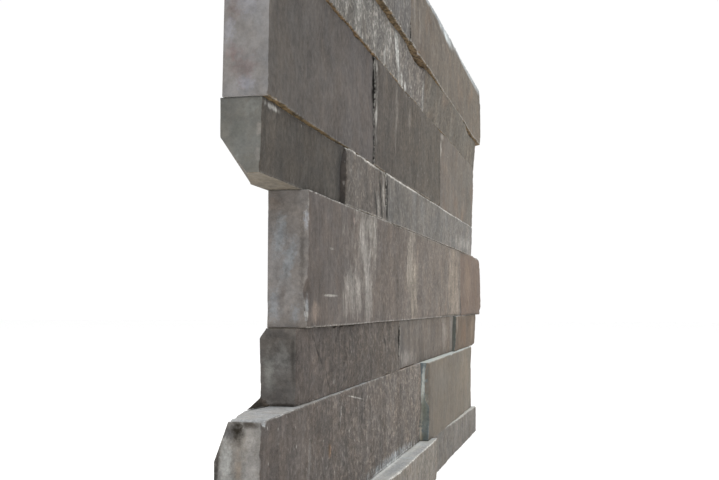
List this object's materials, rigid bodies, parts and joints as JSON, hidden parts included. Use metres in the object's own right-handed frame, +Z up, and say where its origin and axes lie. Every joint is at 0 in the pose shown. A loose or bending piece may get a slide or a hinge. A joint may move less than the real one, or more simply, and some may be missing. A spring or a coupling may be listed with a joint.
{
  "type": "split-stone cladding strip",
  "caption": "Ledger strip of split quartzite: bonded courses of stone, thick and thin in turn, with stepped interlocking ends, for facing a wall.",
  "frame": {"origin": "on the surface the strip stands on, under the centre of its bounding box", "axes": "+X along the courses, +Z up, split faces look along -Y and the sawn backs look along +Y, to the wall"},
  "size_m": [0.6, 0.026, 0.3],
  "materials": {
    "grey_quartzite": "split, matt",
    "brown_quartzite": "split, matt"
  },
  "bodies": {
    "root": {"course1_stone1": "brown_quartzite", "course1_stone2": "grey_quartzite", "course2_stone1": "grey_quartzite", "course2_stone2": "brown_quartzite", "course3_stone1": "grey_quartzite", "course3_stone2": "brown_quartzite", "course3_stone3": "brown_quartzite", "course4_stone1": "grey_quartzite", "course4_stone2": "brown_quartzite", "course5_stone1": "grey_quartzite", "course5_stone2": "grey_quartzite", "course5_stone3": "grey_quartzite", "course6_stone1": "grey_quartzite", "course6_stone2": "grey_quartzite", "course6_stone3": "brown_quartzite", "course7_stone1": "grey_quartzite", "course7_stone2": "brown_quartzite", "course8_stone1": "grey_quartzite", "course8_stone2": "brown_quartzite"}
  },
  "joints": []
}
